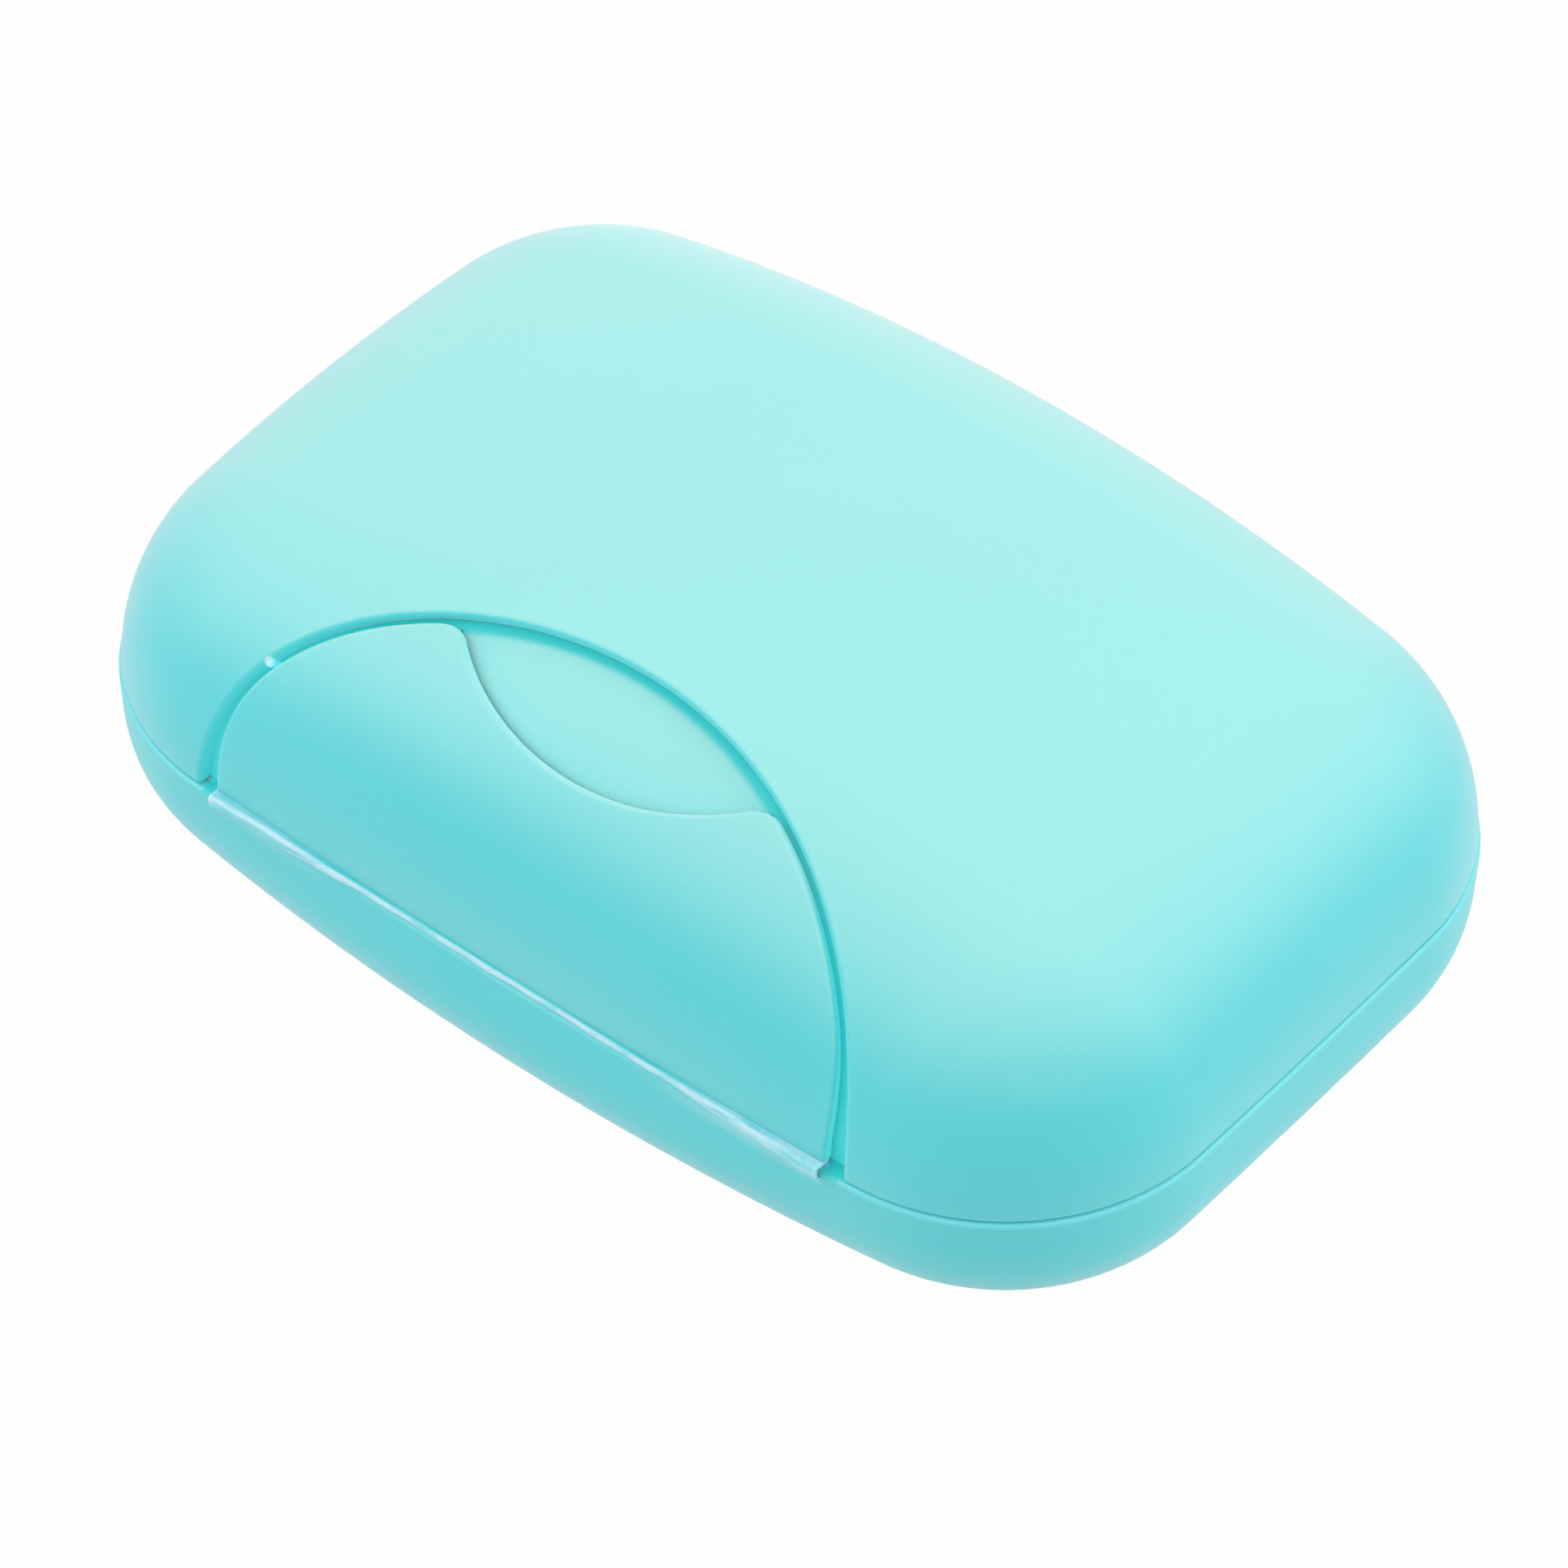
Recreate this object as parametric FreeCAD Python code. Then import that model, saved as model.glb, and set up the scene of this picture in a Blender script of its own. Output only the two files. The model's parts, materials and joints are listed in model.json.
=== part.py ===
"""Travel soap box: tray, domed lid and a front latch flap, joined by living hinges.

Frame in mm: X along the length, +Y to the rear hinge, Z up from the rest face.
The latch flap is on the front (-Y) and lies flush in a recess of the lid.
"""
import math
import os

import FreeCAD
import Part
from FreeCAD import Vector

# Whole box
length = 110.0
width = 74.0
height = 39.4
parting_height = 15.4
rim_gap = 0.2
side_bow = 1.5
end_bow = 0.5
overrun = 1.0

# Lid, set back a little from the rim of the tray
lid_setback = 0.25
shoulder_radius = 20.0
corner_margin = 1.0
dome_radius = 190.0
lid_wall = 2.2
lid_edge_round = 0.25

# Tray: its long sides swell below the rim
tray_bulge = 1.2
tray_bow_gain = 4.5
base_edge_radius = 11.5
base_wall = 2.0
rim_width = 3.4
rim_thickness = 1.8
rim_edge_round = 0.5
edge_steps = 6
wall_steps = 3

# Drain ribs on the tray floor
rib_count = 7
rib_pitch = 11.0
rib_thickness = 2.2
rib_height = 2.0
rib_length = 42.0

# Latch recess in the lid, seen square on along the slant
latch_slant_deg = 45.0
recess_half_width = 34.3
recess_rise = 27.6
recess_depth = 1.35
visor_thickness = 1.6
visor_tuck = 0.35
recess_edge_round = 0.5
bay_half_width = 33.3
bay_corner_radius = 14.0
swing_clearance = 0.5
nib_radius = 0.5
nib_rise = 13.0
nib_sink_share = 0.35

# Latch flap
side_gap = 0.75
top_gap = 0.5
foot_gap = 1.85
foot_ease_radius = 16.0
flap_thickness = 0.9
notch_radius = 24.6
notch_rise = 17.6
tip_radius = 2.6
flap_edge_round = 0.35

# Living hinges: thin films folded into a U around their axes
web_thickness = 0.3
latch_roll_radius = 0.45
latch_axis_inset = 0.3
latch_web_leg = 1.2
latch_web_length = 64.8
lid_roll_radius = 0.5
lid_axis_outset = 0.4
lid_web_leg = 1.45
lid_web_length = 18.0
lid_web_offset = 22.0
web_pocket_play = 0.15

# Seal ring
seal_inset = 1.25
seal_width = 0.8
seal_depth = 0.9
seal_proud = 0.15

# Worked out from the sizes above
half_length = length / 2
half_width = width / 2
corner_radius = shoulder_radius + corner_margin
lid_rim_z = parting_height + rim_gap
dome_centre = Vector(0, 0, height - dome_radius)
flap_half_width = recess_half_width - side_gap
flap_rise = recess_rise - top_gap
foot_half_width = recess_half_width - foot_gap
slant = math.radians(latch_slant_deg)
view_in = Vector(0, math.cos(slant), -math.sin(slant))
view_up = Vector(0, math.sin(slant), math.cos(slant))
latch_axis_y = latch_axis_inset - half_width
latch_axis_z = parting_height + latch_roll_radius
flap_foot_z = latch_axis_z + latch_roll_radius
lid_axis_y = half_width + lid_axis_outset
lid_axis_z = parting_height + rim_gap / 2
latch_axis = Vector(0, latch_axis_y, latch_axis_z)
along_x = Vector(1, 0, 0)
up = Vector(0, 0, 1)


def bowed_outline(inset, z, swell=0):
    """Closed plan outline of eight tangent arcs, moved inwards by inset.

    swell, from 0 to 1, is how far the long sides bulge as low on the tray.
    """
    half_across = half_width + tray_bulge * swell
    bow = side_bow + tray_bow_gain * swell
    side_arc = (half_length ** 2 + bow ** 2) / (2 * bow)
    end_arc = (half_across ** 2 + end_bow ** 2) / (2 * end_bow)
    side_centre = Vector(0, half_across - side_arc, 0)
    end_centre = Vector(half_length - end_arc, 0, 0)
    to_end = end_centre - side_centre
    span = to_end.Length
    side_reach = side_arc - corner_radius
    end_reach = end_arc - corner_radius
    foot = (side_reach ** 2 - end_reach ** 2 + span ** 2) / (2 * span)
    rise = math.sqrt(side_reach ** 2 - foot ** 2)
    aim = to_end * (1 / span)
    corner = side_centre + aim * foot + Vector(aim.y, -aim.x, 0) * rise
    side_way = (corner - side_centre).normalize()
    end_way = (corner - end_centre).normalize()
    side_end = side_centre + side_way * (side_arc - inset)
    end_end = end_centre + end_way * (end_arc - inset)
    bend = corner + (side_way + end_way).normalize() * (corner_radius - inset)
    side_mid = Vector(0, half_across - inset, 0)
    end_mid = Vector(half_length - inset, 0, 0)

    def placed(point, sign_x, sign_y):
        return Vector(point.x * sign_x, point.y * sign_y, z)

    def arc(first, middle, last):
        points = [placed(*first), placed(*middle), placed(*last)]
        return Part.Arc(*points).toShape()

    return Part.Wire([
        arc((side_end, 1, 1), (side_mid, 1, 1), (side_end, -1, 1)),
        arc((side_end, -1, 1), (bend, -1, 1), (end_end, -1, 1)),
        arc((end_end, -1, 1), (end_mid, -1, 1), (end_end, -1, -1)),
        arc((end_end, -1, -1), (bend, -1, -1), (side_end, -1, -1)),
        arc((side_end, -1, -1), (side_mid, 1, -1), (side_end, 1, -1)),
        arc((side_end, 1, -1), (bend, 1, -1), (end_end, 1, -1)),
        arc((end_end, 1, -1), (end_mid, 1, 1), (end_end, 1, 1)),
        arc((end_end, 1, 1), (bend, 1, 1), (side_end, 1, 1)),
    ])


def plan_block(inset, low, high):
    """The outline, inset, as a straight block between two heights."""
    return Part.Face(bowed_outline(inset, low)).extrude(up * (high - low))


def tray_form(inset, top):
    """Solid tray with a round lower edge, parallel to the outside at a depth of inset."""
    bend = base_edge_radius - inset
    levels = []
    for step in range(edge_steps + 1):
        angle = math.pi / 2 * step / edge_steps
        levels.append((inset + bend * (1 - math.cos(angle)), inset + bend * (1 - math.sin(angle))))
    wall_low = inset + bend
    for step in range(1, wall_steps + 1):
        levels.append((wall_low + (top - wall_low) * step / wall_steps, inset))
    wires = [bowed_outline(depth, z, 1 - (z / parting_height) ** 2) for z, depth in levels]
    return Part.makeLoft(wires, True, False)


def edges_at(shape, z):
    return [edge for edge in shape.Edges
            if abs(edge.BoundBox.ZMin - z) < 1e-4 and abs(edge.BoundBox.ZMax - z) < 1e-4]


def edges_along(shape, skin, wall):
    """Edges of a shape that lie where a skin and a wall cross."""
    found = []
    for edge in shape.Edges:
        points = [Part.Vertex(point) for point in edge.discretize(5)]
        if all(max(point.distToShape(skin)[0], point.distToShape(wall)[0]) < 2e-3 for point in points):
            found.append(edge)
    return found


def lid_form(inset, low):
    """Solid domed lid, parallel to the outside at a depth of inset."""
    round_up = shoulder_radius - lid_setback
    dome = Part.makeSphere(dome_radius - round_up, dome_centre)
    dome.rotate(dome_centre, Vector(0, 1, 0), 90)
    core = plan_block(shoulder_radius, -height, height).common(dome)
    swollen = core.makeOffsetShape(round_up - inset, 1e-3, join=0)
    room = Part.makeBox(2 * length, 2 * width, height, Vector(-length, -width, low))
    return swollen.common(room).Solids[0]


def slanted(point_x, rise, depth):
    """A point of the latch's square-on view: across, up the view, into it."""
    return latch_axis + along_x * point_x + view_up * rise + view_in * depth


def latch_prism(half, rise, grow):
    """Half-elliptic outline with straight sides below the hinge, cut along the slant."""
    half = half + grow
    rise = rise + grow
    oval = Part.Ellipse(slanted(half, 0, -height), slanted(0, rise, -height), slanted(0, 0, -height))
    rim = Part.Face(Part.Wire([oval.toShape()])).extrude(view_in * (2 * height))
    corners = [(-half, 0), (half, 0), (half, -height), (-half, -height)]
    points = [slanted(across, level, -height) for across, level in corners]
    sides = Part.Face(Part.makePolygon(points + points[:1])).extrude(view_in * (2 * height))
    return rim.fuse(sides).removeSplitter()


def edges_across(prism):
    """Edges of a prism that run along the slant, each at one place across."""
    return [edge for edge in prism.Edges
            if len(edge.Vertexes) == 2 and abs(edge.Vertexes[0].X - edge.Vertexes[1].X) < 1e-6]


def flap_outline(grow):
    """The flap's outline along the slant: half an ellipse, cut straight beside its foot."""
    oval = latch_prism(flap_half_width, flap_rise, grow)
    side = foot_half_width + grow
    room = Part.makeBox(2 * side, 4 * width, 4 * height, Vector(-side, -2 * width, -2 * height))
    outline = oval.common(room)
    eases = [edge for edge in edges_across(outline)
             if 0 < (edge.Vertexes[0].Point - latch_axis).dot(view_up) < notch_rise]
    return outline.makeFillet(foot_ease_radius, eases)


def notch_prism(radius):
    """Round bar along the slant that bites the thumb notch out of the flap."""
    return Part.makeCylinder(radius, 2 * height, slanted(0, notch_rise + notch_radius, -height), view_in)


def bay_outline(radius, grow, reach):
    """Rounded rectangle in front of the rear hinge axis; its back edge is at radius."""
    back = lid_axis_y - radius + grow
    side = bay_half_width + grow
    bend = bay_corner_radius + grow
    front = lid_axis_y - reach
    slip = bend * (1 - math.sqrt(0.5))
    z = lid_axis_z

    def corner(sign):
        return [Vector(sign * side, back - bend, z), Vector(sign * (side - slip), back - slip, z),
                Vector(sign * (side - bend), back, z)]

    left = corner(-1)
    right = corner(1)
    return Part.Wire([
        Part.makeLine(Vector(-side, front, z), left[0]),
        Part.Arc(*left).toShape(),
        Part.makeLine(left[2], right[2]),
        Part.Arc(*right).toShape(),
        Part.makeLine(right[0], Vector(side, front, z)),
        Part.makeLine(Vector(side, front, z), Vector(-side, front, z)),
    ])


def bay_sweep(radius, grow):
    """Space that the lid keeps clear so that it swings past the shut flap."""
    turn_low = math.degrees(math.atan2(2 * rim_thickness, half_width))
    turn_high = math.degrees(math.atan2(height, half_width))
    face = Part.Face(bay_outline(radius, grow, 2 * width))
    pivot = Vector(0, lid_axis_y, lid_axis_z)
    face.rotate(pivot, along_x, turn_low)
    return face.revolve(pivot, along_x, -(turn_low + turn_high))


def bay_block(radius, grow, low, high):
    """The same space as a straight block, for the rim of the tray."""
    face = Part.Face(bay_outline(radius, grow, width))
    face.translate(up * (low - lid_axis_z))
    return face.extrude(up * (high - low))


def folded_web(across, axis_y, axis_z, roll, leg, way):
    """Film folded into a U: a round roll on the axis and two flat legs behind it."""
    start = Vector(across[0], axis_y, axis_z)
    run = across[1] - across[0]
    bore = roll - web_thickness

    def hairpin(radius, reach):
        bar = Part.makeCylinder(radius, run, start, along_x)
        low_y = min(axis_y, axis_y + way * reach)
        slab = Part.makeBox(run, reach, 2 * radius, Vector(across[0], low_y, axis_z - radius))
        return bar.fuse(slab)

    return hairpin(roll, leg).cut(hairpin(bore, leg + overrun)).removeSplitter()


# Latch flap: the lid's own skin, one thickness deep, inside the slanted outline
outer_form = lid_form(0, lid_rim_z)
flap_skin = lid_form(0, parting_height).cut(lid_form(flap_thickness, parting_height - overrun))
flap_prism = flap_outline(0).cut(notch_prism(notch_radius))
tips = [edge for edge in edges_across(flap_prism)
        if notch_rise < (edge.Vertexes[0].Point - latch_axis).dot(view_up) < recess_rise]
flap_prism = flap_prism.makeFillet(tip_radius, tips)
flap_room = Part.makeBox(2 * length, width, height, Vector(-length, -width, flap_foot_z))
latch_flap = flap_prism.common(flap_skin).common(flap_room)
latch_flap = max(latch_flap.Solids, key=lambda solid: solid.Volume)
lid_skin = lid_form(0, parting_height).Shells[0]
flap_rim = edges_along(latch_flap, lid_skin, flap_prism.Shells[0])
latch_flap = latch_flap.makeFillet(flap_edge_round, flap_rim)

# Lid: recess and latch bay cut from the outside, then hollowed
rear_axis = Part.makeLine(Vector(-length, lid_axis_y, lid_axis_z), Vector(length, lid_axis_y, lid_axis_z))
bay_radius = latch_flap.distToShape(rear_axis)[0] - swing_clearance
recess = latch_prism(recess_half_width, recess_rise, 0)
recess_floor = lid_form(recess_depth, parting_height - overrun)
visor_skin = recess_floor.cut(lid_form(recess_depth + visor_thickness, parting_height - 2 * overrun))
under_flap = flap_outline(-visor_tuck)
visor = visor_skin.cut(under_flap.cut(notch_prism(notch_radius + visor_tuck)))
latch_bay = bay_sweep(bay_radius, 0).common(recess).cut(visor)
recess_wall = latch_prism(recess_half_width, recess_rise, visor_thickness)
hollow = lid_form(lid_wall, parting_height - overrun).cut(recess_wall)
front_hollow = lid_form(recess_depth + visor_thickness, parting_height - overrun)
hollow = hollow.fuse(front_hollow.cut(bay_sweep(bay_radius, lid_wall)))
lid_underside = min(outer_form.Faces, key=lambda face: face.CenterOfMass.z)
lid_shell = outer_form.cut(recess.cut(recess_floor))
lid_shell = lid_shell.makeFillet(recess_edge_round, edges_along(lid_shell, lid_skin, recess.Shells[0]))
lid_shell = lid_shell.makeFillet(lid_edge_round, edges_along(lid_shell, lid_skin, lid_underside))
lid_shell = lid_shell.cut(latch_bay).cut(hollow)

# Snap nib on the left side wall of the recess
nib_across = -recess_half_width * math.sqrt(1 - (nib_rise / recess_rise) ** 2)
sight = Part.makeLine(slanted(nib_across, nib_rise, -height), slanted(nib_across, nib_rise, height))
inside = sight.common(lid_form(recess_depth / 2, parting_height))
nib_centre = max(inside.Vertexes, key=lambda vertex: vertex.Z).Point
nib = Part.makeSphere(nib_radius, nib_centre - along_x * (nib_radius * nib_sink_share))
lid_shell = lid_shell.fuse(nib.common(recess_wall).common(outer_form))

# Tray with a rim land that the lid and its seal close on
base_shell = tray_form(0, parting_height)
base_shell = base_shell.makeFillet(rim_edge_round, edges_at(base_shell, parting_height))
cavity = tray_form(base_wall, parting_height - rim_thickness)
mouth_low = parting_height - rim_thickness - overrun
mouth = plan_block(rim_width, mouth_low, parting_height + overrun)
mouth = mouth.cut(bay_block(bay_radius, rim_width, mouth_low - overrun, parting_height + 2 * overrun))
base_shell = base_shell.cut(cavity.fuse(mouth))
for index in range(rib_count):
    rib_x = (index - (rib_count - 1) / 2) * rib_pitch
    corner = Vector(rib_x - rib_thickness / 2, -rib_length / 2, base_wall / 2)
    rib = Part.makeBox(rib_thickness, rib_length, rib_height + base_wall / 2, corner)
    base_shell = base_shell.fuse(rib)

# Seal ring in a groove of the rim land
seal_low = parting_height - seal_depth
seal_high = parting_height + seal_proud


def seal_region(inset):
    block = plan_block(inset, seal_low, seal_high)
    return block.cut(bay_block(bay_radius, inset, seal_low - overrun, seal_high + overrun))


seal_ring = seal_region(seal_inset).cut(seal_region(seal_inset + seal_width))
base_shell = base_shell.cut(seal_ring)

# Living hinges, with shallow pockets for the rear pair
web_end = latch_web_length / 2
latch_hinge_web = folded_web((-web_end, web_end), latch_axis_y, latch_axis_z,
                             latch_roll_radius, latch_web_leg, 1)
lid_webs = {}
pocket_half = lid_web_length / 2 + web_pocket_play
pocket_front = lid_axis_y - lid_web_leg - web_pocket_play
for side, sign in (("left", -1), ("right", 1)):
    middle = sign * lid_web_offset
    across = (middle - lid_web_length / 2, middle + lid_web_length / 2)
    lid_webs[side] = folded_web(across, lid_axis_y, lid_axis_z, lid_roll_radius, lid_web_leg, -1)
    pocket = Part.makeBox(2 * pocket_half, width, 2 * lid_roll_radius,
                          Vector(middle - pocket_half, pocket_front, lid_axis_z - lid_roll_radius))
    base_shell = base_shell.cut(pocket)
    lid_shell = lid_shell.cut(pocket)

pieces = {
    "base_shell": base_shell,
    "lid_shell": lid_shell,
    "latch_flap": latch_flap,
    "seal_ring": seal_ring,
    "latch_hinge_web": latch_hinge_web,
    "lid_hinge_web_left": lid_webs["left"],
    "lid_hinge_web_right": lid_webs["right"],
}
os.makedirs("parts", exist_ok=True)
for name, shape in pieces.items():
    solid = shape.removeSplitter()
    solid = max(solid.Solids, key=lambda item: item.Volume)
    solid.exportStep(os.path.join("parts", name + ".step"))
    box = solid.BoundBox
    print(name, "solids", len(shape.Solids), "valid", solid.isValid(), "volume", round(solid.Volume, 1),
          "x", round(box.XMin, 2), round(box.XMax, 2), "y", round(box.YMin, 2), round(box.YMax, 2),
          "z", round(box.ZMin, 2), round(box.ZMax, 2))
print("bay radius", round(bay_radius, 2))
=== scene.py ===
"""Dresses the travel soap box: satin aqua shells, whitened hinge films, a seal and a plain studio."""
import json
import math

import bmesh
import bpy
from mathutils import Matrix, Vector


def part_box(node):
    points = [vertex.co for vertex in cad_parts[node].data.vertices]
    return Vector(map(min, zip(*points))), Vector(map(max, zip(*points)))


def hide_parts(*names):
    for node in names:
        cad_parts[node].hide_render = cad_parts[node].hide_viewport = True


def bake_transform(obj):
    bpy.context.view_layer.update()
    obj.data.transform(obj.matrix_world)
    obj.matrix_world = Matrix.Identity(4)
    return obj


bl_info = {
    "name": "Travel Soap Box",
    "version": (1, 0, 0),
    "blender": (4, 5, 0),
    "location": "3D View > Sidebar > Soap Box",
    "description": "Finishes, hinge films and studio for a travel soap box",
    "category": "Object",
}

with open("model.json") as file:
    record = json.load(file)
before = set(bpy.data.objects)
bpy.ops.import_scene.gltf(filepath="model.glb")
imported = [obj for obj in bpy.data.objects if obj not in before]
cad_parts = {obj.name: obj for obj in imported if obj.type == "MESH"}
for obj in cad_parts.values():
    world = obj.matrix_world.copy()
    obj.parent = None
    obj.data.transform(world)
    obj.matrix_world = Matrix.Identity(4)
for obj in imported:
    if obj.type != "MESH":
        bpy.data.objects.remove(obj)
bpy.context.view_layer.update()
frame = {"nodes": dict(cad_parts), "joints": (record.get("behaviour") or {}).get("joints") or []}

MILLIMETRE = 0.001
JOINT_PLACE = {joint["name"]: Vector(joint["pos_m"]) for joint in frame["joints"]}

BLACK = (0, 0, 0, 1)
WHITE = (1, 1, 1, 1)
PLASTIC_IOR = 1.49
RUBBER_IOR = 1.43
SCATTER_DEPTH = 2 * MILLIMETRE
BLOOM_ROUGHNESS = 0.5
CRINKLE_DEPTH = 0.05 * MILLIMETRE
SHARP_ANGLE = math.radians(40)

FLOOR_HALF = 3.0
FLOOR_DROP = 0.1 * MILLIMETRE
FLOOR_GREY = 0.75
FLOOR_ROUGHNESS = 0.9
FLOOR_WHITE_SHARE = 0.97
LIGHT_TARGET = (0, 0, 0.02)
# Name, place, width, depth and the setting that holds the power
SOFTBOXES = (
    ("overhead_softbox", (0.10, 0.25, 0.75), 0.9, 0.7, "key_power"),
    ("left_softbox", (-0.55, -0.55, 0.60), 0.6, 0.6, "left_power"),
    ("right_softbox", (0.60, 0.50, 0.35), 0.6, 0.6, "right_power"),
)
SENSOR_WIDTH = 36.0
CLIP_NEAR, CLIP_FAR = 0.01, 20.0


class FinishSettings(bpy.types.PropertyGroup):
    """Colours and surface of the moulded plastic."""
    # The plastic's own aqua, left on the upright walls; faces that look up get the paler painted copy
    # below.
    deep_colour: bpy.props.FloatVectorProperty(
        name="Deep colour", description="Aqua of the upright walls",
        subtype="COLOR", size=3, min=0, max=1, default=(0.085, 0.690, 0.745))
    # Painted light: a paler copy of the aqua, painted on faces that look up as if lit from above; also the
    # colour of the painted glow around the flap's notch.
    painted_top_light_colour: bpy.props.FloatVectorProperty(
        name="Milky colour", description="Paler aqua of the faces moulded towards the top",
        subtype="COLOR", size=3, min=0, max=1, default=(0.330, 0.820, 0.790))
    # Painted shade: a deeper, saturated teal painted in the groove around the flap, at its feet and on the
    # flap's sides; also the colour of the painted glow there.
    painted_groove_teal: bpy.props.FloatVectorProperty(
        name="Groove colour", description="Saturated teal in the groove around the latch flap",
        subtype="COLOR", size=3, min=0, max=1, default=(0.030, 0.540, 0.550))
    scatter_colour: bpy.props.FloatVectorProperty(
        name="Scatter colour", description="How far red, green and blue light travel in the plastic",
        subtype="COLOR", size=3, min=0, max=1, default=(1.00, 1.00, 1.00))
    # Stress whitening of the folded films and the tray's hinge ends; also a painted highlight on the nib
    # and on the tray's rim edge, and the colour of the painted glow at the films' ends.
    whitening_and_painted_light_colour: bpy.props.FloatVectorProperty(
        name="Whitened colour", description="Pale stress mark where a film has been folded",
        subtype="COLOR", size=3, min=0, max=1, default=(0.57, 0.86, 0.97))
    seal_colour: bpy.props.FloatVectorProperty(
        name="Seal colour", description="Milky rubber of the seal ring",
        subtype="COLOR", size=3, min=0, max=1, default=(0.35, 0.75, 0.74))
    satin: bpy.props.FloatProperty(
        name="Satin", description="Mean roughness of the moulded skin", min=0, max=1, default=0.45)
    grain_size: bpy.props.FloatProperty(
        name="Grain size", description="Pitch of the spark-eroded mould texture",
        unit="LENGTH", min=0.00005, default=0.00035)
    grain_depth: bpy.props.FloatProperty(
        name="Grain depth", description="Height of the mould texture",
        unit="LENGTH", min=0, default=0.000006)
    # Strength of the painted glow, emission standing in for light through the plastic, in the grooves and
    # on the edges.
    painted_glow_strength: bpy.props.FloatProperty(
        name="Groove glow", description="Light that reaches grooves and edges through the plastic",
        min=0, max=1, default=0.50)


class LatchSettings(bpy.types.PropertyGroup):
    """Outline of the latch recess, seen square on along its slant."""
    recess_half_width: bpy.props.FloatProperty(
        name="Recess half width", description="Half of the recess along the hinge",
        unit="LENGTH", default=0.0343)
    recess_rise: bpy.props.FloatProperty(
        name="Recess rise", description="Height of the recess above the hinge along the slant",
        unit="LENGTH", default=0.0276)
    groove_width: bpy.props.FloatProperty(
        name="Groove width", description="Gap between the recess and the flap at its top",
        unit="LENGTH", default=0.0004)
    foot_gap: bpy.props.FloatProperty(
        name="Foot gap", description="Gap between the recess and the flap beside the hinge",
        unit="LENGTH", default=0.00185)
    nib_rise: bpy.props.FloatProperty(
        name="Nib rise", description="Height of the snap nib above the hinge along the slant",
        unit="LENGTH", default=0.013)
    # Painted highlight: how far around its middle the nib gets a painted white spot.
    nib_highlight_reach: bpy.props.FloatProperty(
        name="Nib reach", description="How far around its middle the nib is rubbed white",
        unit="LENGTH", default=0.0006)
    slant: bpy.props.FloatProperty(
        name="Slant", description="Angle of the view that the outline is drawn in",
        subtype="ANGLE", default=math.radians(45))


class FilmSettings(bpy.types.PropertyGroup):
    """Sizes of the folded hinge films."""
    thickness: bpy.props.FloatProperty(
        name="Film thickness", description="Wall of the folded film",
        unit="LENGTH", min=0.0001, default=0.0003)
    fold_steps: bpy.props.IntProperty(
        name="Fold steps", description="Facets around the fold", min=4, default=24)
    length_steps: bpy.props.IntProperty(
        name="Length steps", description="Cuts along a film", min=4, default=144)
    middle_share: bpy.props.FloatProperty(
        name="Middle share", description="Bulge of the roll at mid-length, as a share of its radius",
        min=0.5, max=1, default=0.9)
    end_share: bpy.props.FloatProperty(
        name="End share", description="Bulge of the roll at its ends, as a share of its radius",
        min=1, max=2, default=1.3)
    bead_share: bpy.props.FloatProperty(
        name="Bead share", description="Extra height of the bead that ends the latch film, as a share",
        min=0, max=1, default=0.6)
    bead_length: bpy.props.FloatProperty(
        name="Bead length", description="Length of the bead at each end of the latch film",
        unit="LENGTH", min=0, default=0.0009)
    skirt_drop: bpy.props.FloatProperty(
        name="Skirt drop", description="How far the ends of the latch film run down the tray wall",
        unit="LENGTH", min=0, default=0.0010)
    skirt_tuck: bpy.props.FloatProperty(
        name="Skirt tuck", description="How far the foot of that skirt leans back to the wall",
        unit="LENGTH", min=0, default=0.0003)
    waviness: bpy.props.FloatProperty(
        name="Waviness", description="How far the fold of a film wanders",
        unit="LENGTH", min=0, default=0.00008)


class StageSettings(bpy.types.PropertyGroup):
    """Camera and light of the studio."""
    azimuth: bpy.props.FloatProperty(
        name="Azimuth", description="Turn of the camera about the upright",
        subtype="ANGLE", default=math.radians(38.30))
    elevation: bpy.props.FloatProperty(
        name="Elevation", description="Height angle of the camera",
        subtype="ANGLE", default=math.radians(45.72))
    roll: bpy.props.FloatProperty(
        name="Roll", description="Tilt of the camera about its own line of sight",
        subtype="ANGLE", default=math.radians(1.21))
    distance: bpy.props.FloatProperty(
        name="Distance", description="Camera to the point it looks at", unit="LENGTH", default=0.746)
    lens: bpy.props.FloatProperty(
        name="Lens", description="Focal length in millimetres on a 36 mm sensor", default=204.65)
    aim_height: bpy.props.FloatProperty(
        name="Aim height", description="Height of the point behind the picture's middle",
        unit="LENGTH", default=0.016)
    aim_left: bpy.props.FloatProperty(
        name="Aim left", description="Slide of the camera to its left", unit="LENGTH", default=0.00087)
    aim_down: bpy.props.FloatProperty(
        name="Aim down", description="Slide of the camera downwards", unit="LENGTH", default=0.0043)
    room_light: bpy.props.FloatProperty(
        name="Room light", description="Strength of the white room", min=0, default=0.75)
    key_power: bpy.props.FloatProperty(
        name="Key power", description="Watts of the overhead softbox", min=0, default=0.55)
    left_power: bpy.props.FloatProperty(
        name="Left power", description="Watts of the softbox at the front left", min=0, default=2.3)
    right_power: bpy.props.FloatProperty(
        name="Right power", description="Watts of the softbox at the rear right", min=0, default=2.1)


def settings(name):
    return getattr(bpy.context.scene, name)


def new_material(name):
    """A node material with only its Principled shader and output."""
    material = bpy.data.materials.new(name)
    material.use_nodes = True
    return material, material.node_tree, material.node_tree.nodes["Principled BSDF"]


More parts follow.
